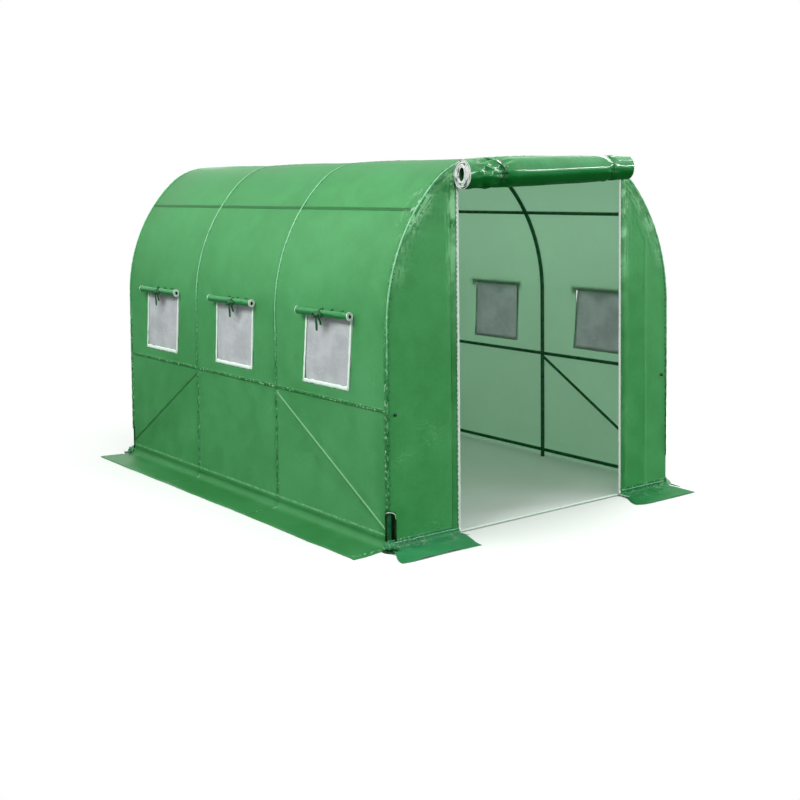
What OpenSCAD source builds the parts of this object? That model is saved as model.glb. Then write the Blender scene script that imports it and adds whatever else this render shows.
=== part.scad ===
// Polytunnel greenhouse: four bent tube arches under a fitted film cover.
// X runs across the tunnel, Y along it and Z up. The doorway faces -Y.
// The origin is on the ground, at the middle of the tunnel.

/* [Tunnel] */
// Length over the outer faces of the end arches
frame_l = 3000; // [2400:10:3800]
// Width over the outer faces of the arch legs
frame_w = 2150; // [1900:5:2500]
// Height over the crown of the arches
frame_h = 2026; // [1960:2:2400]
// Outer radius of the gentle bend above each leg
side_r = 1030; // [940:10:1060]
// Turn of that bend, in degrees
side_turn = 47; // [42:1:48]
// Outer radius of the shoulder bends
shoulder_r = 430; // [380:10:480]
// Turn of the shoulder bends, in degrees
shoulder_turn = 39; // [34:1:40]

/* [Bays] */
// Spacing of the front arch and the next one, on centres
front_bay = 1060; // [800:10:1200]
// Spacing of the back arch and the one before it, on centres
rear_bay = 960; // [700:10:1100]

/* [Tubes] */
// Diameter of the arch tubes
tube_d = 25; // [19:1:32]
// Diameter of the tubes that run along the tunnel
purlin_d = 22; // [16:1:25]
// Diameter of the corner braces
brace_d = 18; // [12:1:22]
// Height of the waist tubes
waist_h = 716; // [600:2:760]
// Place of the left shoulder tube round the gentle bend, in degrees above the horizontal
purlin_angle_left = 36; // [28:1:42]
// Place of the right shoulder tube round the gentle bend
purlin_angle_right = 32; // [28:1:42]
// How far a brace's upper end sits under the waist tube
brace_drop = 21; // [15:1:60]
// Height of a brace's lower end
brace_foot = 86; // [80:1:130]
// Height of the axis of the rails at the foot of the walls
rail_h = 48; // [30:1:54]
// Diameter of the sill tube under the doorway
sill_d = 14; // [10:1:20]
// Gap left where two tubes butt
butt_gap = 0.3; // [0.2:0.1:0.5]

/* [Cover] */
// Thickness of the film and its hems
film_t = 3; // [2:0.5:5]
// Gap between the tubes and the film
film_gap = 0.3; // [0.2:0.1:0.6]
// How far the flaps reach over the ground
skirt_w = 240; // [150:5:300]
// How far the side flaps run past the end walls
skirt_tail = 105; // [40:5:140]
// Height of the lower edge of the cut-out that bares each arch foot
slot_foot = 40; // [20:5:60]
// Height of that cut-out's upper edge
slot_h = 190; // [120:5:240]
// Width of that cut-out on the end wall
slot_end_w = 48; // [30:1:60]
// Width of that cut-out on the side wall
slot_side_w = 20; // [12:1:30]

/* [Doorway] */
// Clear width between the zip bands
door_w = 1240; // [900:10:1280]
// How far the doorway's middle lies right of the tunnel's middle
door_shift = 28; // [-40:1:40]
// Height of the doorway
door_h = 1900; // [1600:2:1910]
// Width of the zip bands
zip_w = 14; // [8:1:25]
// Diameter of the rolled-up door at its left end
door_roll_d = 160; // [120:2:180]
// Diameter at its right end, which is rolled tighter
door_roll_thin_d = 146; // [100:2:170]
// Length of the rolled-up door
door_roll_l = 1280; // [1250:10:1500]
// Height of its axis at the left end
door_roll_h = 1926; // [1900:2:1940]
// How much higher its right end hangs
door_roll_rise = 40; // [0:1:50]

/* [Windows] */
// Width of a window opening
window_w = 430; // [300:10:520]
// Height of a window opening's lower edge
window_sill = 790; // [760:5:840]
// Height of a window opening
window_h = 378; // [300:2:420]
// Gap between a window's mesh and the film round it
mesh_gap = 0.3; // [0.2:0.1:0.6]
// Diameter of a rolled-up window flap
window_roll_d = 45; // [30:1:60]
// Length of a rolled-up window flap
window_roll_l = 520; // [460:10:560]
// How far its axis lies above the window opening
window_roll_lift = 15; // [10:1:30]

/* [Hidden] */
$fn = 96;
// Steps in a full turn of a bent tube, one for each degree
BEND_FN = 360;
SIDES = ["left", "right"];
BAYS = ["front", "middle", "rear"];
ARCHES = ["arch_front", "arch_front_middle", "arch_rear_middle", "arch_back"];

// How far the straight steps of a curved outline may cut inside its arcs, less than the film's gap
ARC_SAG = 0.15;
// How far a cut reaches past the face that it opens
CUT_PAST = 1;

tube_green = [0.10, 0.33, 0.17];
film_green = [0.25, 0.60, 0.32];
hem_white = [0.88, 0.95, 0.90];
mesh_grey = [0.74, 0.78, 0.80];

tube_r = tube_d / 2;
purlin_r = purlin_d / 2;
half_w = frame_w / 2;
half_l = frame_l / 2;

// The arch outline is a straight leg and three arcs, each tangent to the next. The crown arc's
// radius closes the outline at the ridge, and the leg takes up the height that is left.
crown_turn = side_turn + shoulder_turn;
side_x = half_w - side_r;
shoulder_x = side_x + (side_r - shoulder_r) * cos(side_turn);
crown_r = shoulder_r + shoulder_x / cos(crown_turn);
shoulder_rise = (side_r - shoulder_r) * sin(side_turn);
crown_rise = shoulder_rise - (crown_r - shoulder_r) * sin(crown_turn);
leg_h = frame_h - crown_r - crown_rise;
shoulder_z = leg_h + shoulder_rise;
crown_z = leg_h + crown_rise;

arch_y = [
    -half_l + tube_r,
    -half_l + tube_r + front_bay,
    half_l - tube_r - rear_bay,
    half_l - tube_r
];
bay_mid = [for (i = [0:2]) (arch_y[i] + arch_y[i + 1]) / 2];

film_in = half_w + film_gap;
film_out = film_in + film_t;
end_in = half_l + film_gap;
end_out = end_in + film_t;
window_top = window_sill + window_h;

// Points along an arc about [x, z], close enough together for its radius.
function arc_points(x, z, r, a0, a1) =
    let (steps = ceil((a1 - a0) / (2 * acos(1 - ARC_SAG / r))))
    [for (i = [0:steps]) let (a = a0 + (a1 - a0) * i / steps) [x + r * cos(a), z + r * sin(a)]];

// The gentle bend of a side wall at a distance outside the tubes, from the leg's top up.
function side_points(off) = arc_points(side_x, leg_h, side_r + off, 0, side_turn);

// The shoulder and the crown at a distance outside the tubes, up to the ridge.
function roof_points(off) = concat(
    arc_points(shoulder_x, shoulder_z, shoulder_r + off, side_turn, crown_turn),
    [for (p = arc_points(0, crown_z, crown_r + off, crown_turn, 90)) if (p[1] > roof_join(off)) p]
);

// Height at which the shoulder arc hands over to the crown arc, with a little to spare.
function roof_join(off) = crown_z + (crown_r + off) * sin(crown_turn) + ARC_SAG;

// Distance from the tunnel's middle to the outer edge of the zip band on one side.
function door_edge(side) = door_w / 2 + zip_w + (side == "right" ? door_shift : -door_shift);

function reversed(list) = [for (i = [len(list) - 1:-1:0]) list[i]];
function mirrored(list) = [for (p = reversed(list)) [-p[0], p[1]]];

// Turns a drawing in X and Z into a slab between two places along the tunnel.
module slab_y(y0, y1) {
    translate([0, y1, 0]) rotate([90, 0, 0]) linear_extrude(height = y1 - y0) children();
}

module both_halves() {
    children();
    mirror([1, 0, 0]) children();
}

module on_side(side) {
    if (side == "left") mirror([1, 0, 0]) children();
    else children();
}

module at_end(end) {
    if (end == "front") mirror([0, 1, 0]) children();
    else children();
}

module rod_y(x, z, d, y0, y1) {
    translate([x, y1, z]) rotate([90, 0, 0]) cylinder(h = y1 - y0, d = d);
}

module box(lo, hi) {
    translate(lo) cube(hi - lo);
}

// A round tube bent about a line along Y, from one angle above the horizontal to another.
module bent_tube(x, z, r, a0, a1) {
    translate([x, 0, z]) rotate([90, 0, 0]) rotate([0, 0, a0])
        rotate_extrude(angle = a1 - a0, $fn = BEND_FN) translate([r, 0]) circle(d = tube_d, $fn = 48);
}

// ---- Frame ----

// Two straight legs, four bends and a crown bend, butted end to end.
module arch(i) {
    side_gap = butt_gap / side_r * 180 / PI;
    crown_gap = butt_gap / shoulder_r * 180 / PI;
    color(tube_green) translate([0, arch_y[i], 0]) {
        both_halves() {
            translate([half_w - tube_r, 0, 0]) cylinder(h = leg_h, d = tube_d);
            bent_tube(side_x, leg_h, side_r - tube_r, side_gap, side_turn - side_gap);
            bent_tube(shoulder_x, shoulder_z, shoulder_r - tube_r, side_turn, crown_turn - crown_gap);
        }
        bent_tube(0, crown_z, crown_r - tube_r, crown_turn, 180 - crown_turn);
    }
}

// Three lengths of tube between the four arches, whose outer line touches the outline.
module purlin(x, z, d) {
    clear = tube_r + butt_gap;
    color(tube_green) for (i = [0:2])
        rod_y(x, z, d, arch_y[i] + clear, arch_y[i + 1] - clear);
}

module shoulder_purlin(side) {
    angle = side == "left" ? purlin_angle_left : purlin_angle_right;
    reach = side_r - purlin_r;
    on_side(side) purlin(side_x + reach * cos(angle), leg_h + reach * sin(angle), purlin_d);
}

module waist_purlin(side) {
    on_side(side) purlin(half_w - purlin_r, waist_h, purlin_d);
}

module ground_rail(side) {
    on_side(side) purlin(half_w - purlin_r, rail_h, purlin_d);
}

// A tube between the two legs of an end arch, level with its outer face.
module end_rail(y, z, d) {
    reach = half_w - tube_d - butt_gap;
    color(tube_green) translate([-reach, y, z]) rotate([0, 90, 0]) cylinder(h = 2 * reach, d = d);
}

module ground_rail_back() {
    end_rail(half_l - purlin_r, rail_h, purlin_d);
}

module sill_front() {
    end_rail(-half_l + sill_d / 2, sill_d / 2 + butt_gap, sill_d);
}

// A diagonal from under the waist tube at an inner arch down to the foot of an end arch.
module brace(end, side) {
    inner_y = end == "front" ? -arch_y[1] : arch_y[2];
    outer_y = arch_y[3];
    rise = waist_h - brace_drop - brace_foot;
    run = outer_y - inner_y;
    clear = tube_r + butt_gap;
    slope = atan2(rise, run);
    color(tube_green) on_side(side) at_end(end) intersection() {
        translate([half_w - brace_d / 2, outer_y, brace_foot]) rotate([90 - slope, 0, 0])
            translate([0, 0, -brace_d]) cylinder(h = norm([rise, run]) + 2 * brace_d, d = brace_d);
        box([half_w - 2 * brace_d, inner_y + clear, 0], [half_w + brace_d, outer_y - clear, waist_h]);
    }
}

// ---- Cover ----

// The cut-outs that bare the feet of the end arches, at the back and the front.
module foot_slots() {
    for (end = ["front", "back"]) at_end(end) both_halves()
        box([half_w - slot_end_w, end_out - slot_side_w, slot_foot],
            [film_out + CUT_PAST, end_out + CUT_PAST, slot_h]);
}

// The opening of one window, through the wall and in as far as the centre of the wall's bend.
module window_hole(bay, gap) {
    y = bay_mid[bay];
    box([side_x, y - window_w / 2 + gap, window_sill + gap],
        [film_out + CUT_PAST, y + window_w / 2 - gap, window_top - gap]);
}

// A side wall's film, from the flap on the ground to the foot of the shoulder.
module side_film() {
    outside = concat([[film_out, film_t]], side_points(film_gap + film_t));
    inside = concat([[film_in, film_t]], side_points(film_gap));
    slab_y(-end_in, end_in) polygon(concat(outside, reversed(inside)));
}

module side_cover(side) {
    color(film_green) on_side(side) difference() {
        side_film();
        for (bay = [0:2]) window_hole(bay, 0);
        foot_slots();
    }
}

// Half of the roof, from the top of a side wall to the ridge.
module roof_cover(side) {
    color(film_green) on_side(side) slab_y(-end_in, end_in)
        polygon(concat(roof_points(film_gap + film_t), reversed(roof_points(film_gap))));
}

// The outline of an end wall, from the flap on the ground up.
module end_outline() {
    off = film_gap + film_t;
    half = concat([[film_out, film_t]], side_points(off), roof_points(off));
    polygon(concat(half, mirrored(half)));
}

module front_panel(side) {
    color(film_green) on_side(side) difference() {
        slab_y(-end_out, -end_in) intersection() {
            end_outline();
            translate([door_edge(side), 0]) square([frame_w, 2 * frame_h]);
        }
        if (side == "left") foot_slots(); // the right panel covers its arch foot
    }
}

module front_panel_top() {
    color(film_green) slab_y(-end_out, -end_in) intersection() {
        end_outline();
        translate([-door_edge("left"), door_h]) square([door_edge("left") + door_edge("right"), frame_h]);
    }
}

module back_panel() {
    color(film_green) difference() {
        slab_y(end_in, end_out) end_outline();
        foot_slots();
    }
}

module door_zip(side) {
    color(hem_white) on_side(side)
        box([door_edge(side) - zip_w, -end_out, film_t], [door_edge(side), -end_in, door_h]);
}

// The rolled-up door, which lies against the front wall and hangs a little higher on the right.
module door_roll() {
    back = -end_out - film_gap;
    left_end = [-door_roll_l / 2, back - door_roll_d / 2, door_roll_h];
    right_end = [door_roll_l / 2, back - door_roll_thin_d / 2, door_roll_h + door_roll_rise];
    along = right_end - left_end;
    color(film_green) translate(left_end)
        rotate([0, acos(along[2] / norm(along)), atan2(along[1], along[0])])
            cylinder(h = norm(along), d1 = door_roll_d, d2 = door_roll_thin_d);
}

module skirt(side) {
    reach = half_l + skirt_tail;
    color(film_green) on_side(side)
        box([film_in, -reach, 0], [film_out + skirt_w, reach, film_t]);
}

module skirt_front(side) {
    color(film_green) on_side(side)
        box([door_edge(side), -end_out - skirt_w, 0], [film_in - film_gap, -end_in, film_t]);
}

module skirt_back() {
    reach = film_in - film_gap;
    color(film_green) box([-reach, end_in, 0], [reach, end_out + skirt_w, film_t]);
}

// ---- Windows ----

module window_mesh(side, bay) {
    color(mesh_grey) on_side(side) intersection() {
        side_film();
        window_hole(bay, mesh_gap);
    }
}

// A rolled-up flap, which lies against the wall over its window.
module window_roll(side, bay) {
    turn = asin((window_top + window_roll_lift - leg_h) / side_r);
    reach = side_r + film_gap + film_t + film_gap + window_roll_d / 2;
    y = bay_mid[bay];
    color(film_green) on_side(side)
        rod_y(side_x + reach * cos(turn), leg_h + reach * sin(turn), window_roll_d,
            y - window_roll_l / 2, y + window_roll_l / 2);
}

for (i = [0:3]) arch(i);
purlin(0, frame_h - purlin_r, purlin_d);  // ridge_purlin
ground_rail_back();
sill_front();
front_panel_top();
back_panel();
door_roll();
skirt_back();
for (s = SIDES) {
    shoulder_purlin(s);
    waist_purlin(s);
    ground_rail(s);
    side_cover(s);
    roof_cover(s);
    front_panel(s);
    door_zip(s);
    skirt(s);
    skirt_front(s);
    for (e = ["front", "back"])
        brace(e, s);
    for (b = [0:2]) {
        window_mesh(s, b);
        window_roll(s, b);
    }
}
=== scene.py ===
from math import atan2, ceil, copysign, cos, exp, pi, radians, sin

import bmesh
import bpy
from mathutils import Matrix, Vector, noise


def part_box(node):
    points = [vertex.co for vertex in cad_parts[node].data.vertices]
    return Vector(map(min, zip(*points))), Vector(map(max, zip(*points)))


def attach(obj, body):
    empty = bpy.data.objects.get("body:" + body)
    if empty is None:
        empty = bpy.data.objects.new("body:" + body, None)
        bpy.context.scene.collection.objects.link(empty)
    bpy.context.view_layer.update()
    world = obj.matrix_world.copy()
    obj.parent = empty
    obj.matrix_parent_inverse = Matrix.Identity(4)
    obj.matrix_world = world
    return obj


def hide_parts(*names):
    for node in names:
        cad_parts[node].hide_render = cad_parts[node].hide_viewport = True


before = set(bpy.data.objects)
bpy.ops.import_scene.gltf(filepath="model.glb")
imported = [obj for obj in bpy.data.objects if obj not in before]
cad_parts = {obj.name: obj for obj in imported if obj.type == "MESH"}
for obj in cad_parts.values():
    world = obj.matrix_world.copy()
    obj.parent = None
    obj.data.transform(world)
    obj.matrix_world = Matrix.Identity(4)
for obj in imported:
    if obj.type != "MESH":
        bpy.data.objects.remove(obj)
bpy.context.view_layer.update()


def vec(*place):
    return Vector(place)


# ---- Sizes, in metres ----
# The outline's bends repeat the construction's own values; the rest comes from the frame.
SIDE_R, SIDE_TURN = 1.030, radians(47)
SHOULDER_R, SHOULDER_TURN = 0.430, radians(39)
FILM_T = 0.0015  # how thick the film is shown
FILM_OFF = 0.0004  # its inner face over the tubes
GROUND = FILM_T + 0.0005  # the height of film that lies on the ground
FOOT_R = 0.028  # bend between a flap and its wall
SAG = 0.006  # how far the film sinks between the tubes
CELL = 0.024  # length of the cover's mesh cells
FINE_CELL = 0.010  # length of the end walls' mesh cells
SLOT_W, SLOT_LOW, SLOT_TOP = 0.044, 0.040, 0.190  # the cut-outs that bare the arch feet
SLOT_ROUND = 0.020  # how far a cut-out reaches round its corner
SLOT_DROP = 0.020  # how much lower its arched top is at its inner edge
RIB_GAP = 0.012  # between the ribs of the woven film
FOLD_X = 0.885  # where a sharp upright fold runs up the right front panel
ROLL_R, ROLL_THIN_R = 0.080, 0.073  # the rolled-up door's radius at its left and right ends
ROLL_RISE = 0.040  # how much higher its right end hangs
LEAN = {"front": -0.100, "middle": -0.062, "rear": -0.090}  # how far each window leans along the wall
TIE_SHARE = {"front": 0.535, "middle": 0.42, "rear": 0.48}  # where the tie is along each window's roll

SIDES = {"left": -1, "right": 1}
ENDS = {"front": -1, "back": 1}
BAYS = ["front", "middle", "rear"]
ARCHES = ["arch_front", "arch_front_middle", "arch_rear_middle", "arch_back"]
UP = vec(0, 0, 1)


def mid(node, axis):
    low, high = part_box(node)
    return (low[axis] + high[axis]) / 2


def top(node, axis):
    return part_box(node)[1][axis]


arch_y = [mid(n, 1) for n in ARCHES]
half_w, top_z, end_y = top("arch_front", 0), top("arch_front", 2), top("arch_back", 1)
waist_z, rail_z = mid("waist_purlin_right", 2), mid("ground_rail_right", 2)
flap_x, tail_y, flap_y = top("skirt_right", 0), top("skirt_right", 1), top("skirt_back", 1)
door_edge = {"left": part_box("door_zip_left")[0][0], "right": top("door_zip_right", 0)}
door_top = top("door_zip_right", 2)
zip_w = top("door_zip_right", 0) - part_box("door_zip_right")[0][0]
window_box = {b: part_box(f"window_mesh_right_{b}") for b in BAYS}

crown_turn = SIDE_TURN + SHOULDER_TURN
side_x = half_w - SIDE_R
shoulder_x = side_x + (SIDE_R - SHOULDER_R) * cos(SIDE_TURN)
crown_r = SHOULDER_R + shoulder_x / cos(crown_turn)
shoulder_rise = (SIDE_R - SHOULDER_R) * sin(SIDE_TURN)
crown_rise = shoulder_rise - (crown_r - SHOULDER_R) * sin(crown_turn)
leg_z = top_z - crown_r - crown_rise
cover_off = FILM_OFF + FILM_T
foot_z = GROUND + FOOT_R
wall_x, wall_y = half_w + cover_off, end_y + cover_off  # the outer face of the film


# ---- Paths ----
def line(p, q):
    return ("line", Vector(p), Vector(q), (Vector(q) - Vector(p)).length)


def arc(centre, r, a0, a1):
    return ("arc", Vector(centre), (r, a0, a1), r * abs(a1 - a0))


def path_length(path):
    return sum(part[3] for part in path)


def along(path, s):
    """The point at a length s along the path, in X and Z, and the way the film faces there."""
    for part in path:
        if s <= part[3] or part is path[-1]:
            break
        s -= part[3]
    if part[0] == "line":
        way = (part[2] - part[1]).normalized()
        return part[1] + way * s, vec(way.y, -way.x)
    r, a0, a1 = part[2]
    a = a0 + (a1 - a0) * s / part[3]
    out = vec(cos(a), sin(a))
    return part[1] + out * r, out if a1 > a0 else -out


def wall_path(off, start_z):
    """Half of the outline at a distance outside the tubes, from start_z on the leg to the ridge."""
    return [
        line((half_w + off, start_z), (half_w + off, leg_z)),
        arc((side_x, leg_z), SIDE_R + off, 0, SIDE_TURN),
        arc((shoulder_x, leg_z + shoulder_rise), SHOULDER_R + off, SIDE_TURN, crown_turn),
        arc((0, leg_z + crown_rise), crown_r + off, crown_turn, pi / 2),
    ]


def flap_path(wall, edge):
    """From a flap's free edge over the ground and up the bend at the foot of its wall."""
    foot = arc((wall + FOOT_R, foot_z), FOOT_R, radians(270), radians(180))
    return [line((edge, GROUND), (wall + FOOT_R, GROUND)), foot]


def height_to_length(path, z):
    """The length along a path at which it first reaches a height, by halving."""
    low, high = 0.0, path_length(path)
    for _ in range(40):
        half = (low + high) / 2
        low, high = (half, high) if along(path, half)[0].y < z else (low, half)
    return low


def stations(keys, step):
    """Places from the first key to the last, through every key, no further apart than step."""
    keys = sorted(keys)
    places = [keys[0]]
    for a, b in zip(keys, keys[1:]):
        parts = max(1, ceil((b - a) / step - 1e-6))
        places += [a + (b - a) * (i + 1) / parts for i in range(parts)]
    return places


def outline(off, start_z, step, *heights):
    """Points in X and Z from a height on the left leg over the ridge to the same height on the right."""
    path = wall_path(off, GROUND)
    keys = [height_to_length(path, z) for z in (start_z, *heights)] + [path_length(path)]
    half = [along(path, s)[0] for s in stations(keys, step)]
    return [vec(-p.x, p.y) for p in half] + half[-2::-1]


def smooth(x):
    x = min(1.0, max(0.0, x))
    return x * x * (3 - 2 * x)


def lerp(a, b, t):
    return a + (b - a) * t


def rough(x, y, z):
    return noise.noise(vec(x, y, z))


# ---- Making meshes ----
def extrude(bm, edges):
    """Extrudes a row of edges, and gives the new row's edges and points."""
    made = bmesh.ops.extrude_edge_only(bm, edges=edges)["geom"]
    new = {v for v in made if isinstance(v, bmesh.types.BMVert)}
    return [e for e in made if isinstance(e, bmesh.types.BMEdge) and set(e.verts) <= new], new


def loft(chains, closed=False):
    """A sheet through rows of points: the first row's edges, extruded from each row to the next."""
    bm = bmesh.new()
    order, level = (bm.verts.layers.int.new(name) for name in ("order", "level"))
    row = [bm.verts.new(p) for p in chains[0]]
    for i, v in enumerate(row):
        v[order] = i
    ends = row[1:] + row[:1] if closed else row[1:]
    edges = [bm.edges.new(pair) for pair in zip(row, ends)]
    for j, chain in enumerate(chains[1:], 1):
        edges, new = extrude(bm, edges)
        for v in new:
            v.co = chain[v[order]]
            v[level] = j
    return bm


def tube(rows):
    """A closed shape through rings of points."""
    bm = loft(rows, closed=True)
    bmesh.ops.holes_fill(bm, edges=[e for e in bm.edges if e.is_boundary], sides=0)
    return bm


def weave_by(bm, place, name="weave"):
    """Stores each point's place on the flat film, in metres, for the film's patterns."""
    layer = bm.verts.layers.float_vector.new(name)
    for v in bm.verts:
        v[layer] = place(v)


def flat_weave(bm):
    weave_by(bm, lambda v: (v.co.x, v.co.z, 0.0))


def add_box(bm, place, size):
    return bmesh.ops.create_cube(bm, size=1.0, matrix=place @ Matrix.Diagonal((*size, 1)))["verts"]


def finish_mesh(bm, name, *materials, away=None, smooth_faces=True):
    """Turns a bmesh into an object. An open sheet's faces turn away from the point away."""
    if away is None:
        bmesh.ops.recalc_face_normals(bm, faces=bm.faces)  # closed shapes
    else:
        bm.normal_update()
        away = Vector(away)
        turned = sum(f.calc_area() * f.normal.dot(f.calc_center_median() - away) for f in bm.faces)
        if turned < 0:
            bmesh.ops.reverse_faces(bm, faces=bm.faces)
    mesh = bpy.data.meshes.new(name)
    bm.to_mesh(mesh)
    bm.free()
    for m in materials:
        mesh.materials.append(m)
    for p in mesh.polygons:
        p.use_smooth = smooth_faces
    return link(name, mesh)


def link(name, data):
    ob = bpy.data.objects.new(name, data)
    bpy.context.scene.collection.objects.link(ob)
    return ob


def piece(name, bm, *materials, slot="cover_film", nodes=(), thick=None, offset=-1.0, **finish):
    """A finished piece of the part. Sheets get their thickness, and the material of their inner face, from a
    modifier.
    """
    ob = finish_mesh(bm, name, *materials, **finish)
    if thick:
        m = ob.modifiers.new("thickness", "SOLIDIFY")
        m.thickness, m.offset, m.material_offset = thick, offset, len(materials) - 1
    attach(ob, "root")
    if nodes:
        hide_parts(*nodes)
    return ob


# ---- Materials ----
class Value:
    """A node's output. Counting with it adds the nodes that do so."""

    def __init__(self, nodes, socket):
        self.nodes, self.socket = nodes, socket

    def __rsub__(self, other):
        return self.nodes.math("SUBTRACT", other, self)

    def __abs__(self):
        return self.nodes.math("ABSOLUTE", self)


def operator(operation):
    return lambda value, other: value.nodes.math(operation, value, other)


Value.__add__, Value.__sub__, Value.__mul__ = operator("ADD"), operator("SUBTRACT"), operator("MULTIPLY")
Value.__lt__, Value.__gt__ = operator("LESS_THAN"), operator("GREATER_THAN")


class Nodes:
    """A small hand for building a node tree."""

    def __init__(self, tree):
        self.tree = tree
        tree.nodes.clear()

    def add(self, kind, given=(), **settings):
        """A new node. Its inputs are given in order, or by name or number."""
        node = self.tree.nodes.new(kind)
        for key, value in settings.items():
            setattr(node, key, value)
        for key, value in given.items() if isinstance(given, dict) else enumerate(given):
            if isinstance(value, Value):
                self.tree.links.new(value.socket, node.inputs[key])
            else:
                node.inputs[key].default_value = value
        return node

    def use(self, kind, given=(), output=0, **settings):
        return Value(self, self.add(kind, given, **settings).outputs[output])

    def math(self, operation, *values):
        return self.use("ShaderNodeMath", values, operation=operation)

    def most(self, *values):
        """The greatest of the values."""
        found, *others = values
        for value in others:
            found = self.math("MAXIMUM", found, value)
        return found

    def noise(self, vector, scale, detail=2.0, roughness=0.5, distortion=0.0):
        """Noise at a vector, or at a tuple of three values."""
        vector = self.vector(*vector) if isinstance(vector, tuple) else vector
        given = {"Vector": vector, "Scale": scale, "Detail": detail}
        return self.use("ShaderNodeTexNoise", {**given, "Roughness": roughness, "Distortion": distortion})

    def blots(self, vector, scale, a, b, detail=2.0):
        return self.span(self.noise(vector, scale, detail), a, b)

    def span(self, value, a, b, low=0.0, high=1.0):
        """A soft step from low, where the value is a, to high, where it is b."""
        return self.use("ShaderNodeMapRange", (value, a, b, low, high), interpolation_type="SMOOTHSTEP")

    def near(self, value, place, inner, outer):
        """1 within inner of a place, fading to 0 at outer."""
        return self.span(abs(value - place), inner, outer, 1.0, 0.0)

    def mix(self, factor, a, b):
        return self.use("ShaderNodeMix", {0: factor, 6: a, 7: b}, 2, data_type="RGBA")

    def vector(self, x, y, z):
        return self.use("ShaderNodeCombineXYZ", (x, y, z))

    def parts(self, vector):
        return [Value(self, socket) for socket in self.add("ShaderNodeSeparateXYZ", (vector,)).outputs]

    def scaled(self, vector, scale):
        return self.use("ShaderNodeMapping", {"Vector": vector, "Scale": scale})

    def attribute(self, name):
        return self.use("ShaderNodeAttribute", (), "Vector", attribute_name=name)

    def object_place(self):
        return self.use("ShaderNodeTexCoord", (), "Object")

    def threads(self, axes, half_gap, width):
        """1 on threads that cross at even distances, fading out over a width."""
        return self.most(*[self.span(self.math("PINGPONG", a, half_gap), 0.0, width, 1.0, 0.0) for a in axes])


def start_material(name):
    m = bpy.data.materials.new(name)
    m.use_nodes = True
    return m, Nodes(m.node_tree)


def end_material(n, colour, roughness, height, depth, through=0.0, glow=None, **coat):
    """The shader of every material, with a share of light let through thin cloth."""
    normal = n.use("ShaderNodeBump", {"Height": height, "Distance": depth, "Strength": 1.0})
    given = {"Base Color": colour, "Roughness": roughness, "Normal": normal}
    given |= {name.replace("_", " "): value for name, value in coat.items()}
    shader = n.use("ShaderNodeBsdfPrincipled", given)
    if through:
        lit = n.use("ShaderNodeBsdfTranslucent", {"Color": glow})
        shader = n.use("ShaderNodeMixShader", (through, shader, lit))
    n.add("ShaderNodeOutputMaterial", (shader,))


def tint(colour, times=1.0, plus=0.0):
    return (*[min(1.0, c * times + plus) for c in colour], 1)


def woven(n, place):
    """The tone, ribs, creases and height of crossing tapes under an uneven coat."""
    x, y, _ = n.parts(place)
    rib = n.threads((x, y), RIB_GAP / 2, 0.0016)
    broad, patchy = n.noise(place, 1.6, 3.0, 0.55), n.noise(place, 9.0, 3.0, 0.6)
    fine = n.noise(place, 42.0, 3.0, 0.65)
    tone = n.span(patchy * 0.34 + broad * 0.46 + fine * 0.20, 0.36, 0.64)
    folded = n.noise(n.scaled(place, (1.0, 1.8, 1.0)), 13.0)
    crease = n.near(folded, 0.5, 0.0, 0.022) * n.blots(place, 3.1, 0.56, 0.70, 1.0)
    grain, swell = n.noise(place, 240.0), n.noise(place, 6.0, 3.0, 0.6)
    return tone, rib, crease, rib * 0.30 + grain * 0.25 + crease * 0.5 + swell * 2.0


def film(name, dark, light, roughness, crease=0.3, through=0.3, glow=(0.6, 0.95, 0.7), marks=None,
         bump=0.0012, coat=0.0, shine=0.34):
    """Coated woven film. marks(n, x, y) gives a darkening (mostly painted shade), a lightening (painted
    highlights) and a lift by place.
    """
    m, n = start_material(name)
    place = n.attribute("weave")
    tone, rib, folds, height = woven(n, place)
    colour = n.mix(tone, tint(dark), tint(light))
    colour = n.mix(rib * 0.10, colour, tint(dark, 0.6))
    # pale lines along the creases: painted highlights
    colour = n.mix(folds * crease, colour, tint(light, 1.25, 0.17))
    if marks:
        darker, painted_light, lift = marks(n, *n.parts(place)[:2])
        # painted shade and painted highlights from the marks
        colour = n.mix(darker, colour, (dark[0] * 0.04, dark[1] * 0.42, dark[2] * 0.20, 1))
        colour = n.mix(painted_light, colour, tint(light, 1.4, 0.28))
        height += lift * 3.0
        # the coat fades out where shade is painted, so that it shows no reflection there
        coat = n.span(darker, 0.0, 0.9, coat, 0.0) if coat else 0.0
    roughness = n.span(tone, 0.0, 1.0, roughness - 0.05, roughness + 0.07)
    end_material(n, colour, roughness, height, bump, through, n.mix(0.85, colour, tint(glow)),
                 Specular_IOR_Level=shine, Coat_Weight=coat, Coat_Roughness=0.05)
    return m


def solid(name, colour, worn, roughness, scale=40.0, bump=0.0004):
    """A plain finish with a little unevenness in colour, shine and surface."""
    m, n = start_material(name)
    place = n.object_place()
    patches, grain = n.noise(place, scale, 3.0, 0.6), n.noise(place, scale * 12)
    end_material(n, n.mix(n.span(patches, 0.35, 0.7), tint(colour), tint(worn)),
                 n.span(patches, 0.3, 0.7, roughness - 0.06, roughness + 0.08), grain + patches, bump,
                 Specular_IOR_Level=0.3)
    return m


# ---- The cover's path: flap, foot, wall and roof ----
cover_path = flap_path(wall_x, flap_x - 0.003) + wall_path(cover_off, foot_z)
cover_l = path_length(cover_path)
flap_l = cover_path[0][3]
foot_l = flap_l + cover_path[1][3]


def wall_l(z):
    return height_to_length(cover_path[2:], z) + foot_l


def over(side, s):
    """The place on the whole cover, from the left flap's edge, of a length along one half."""
    return s if side < 0 else 2 * cover_l - s


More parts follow.
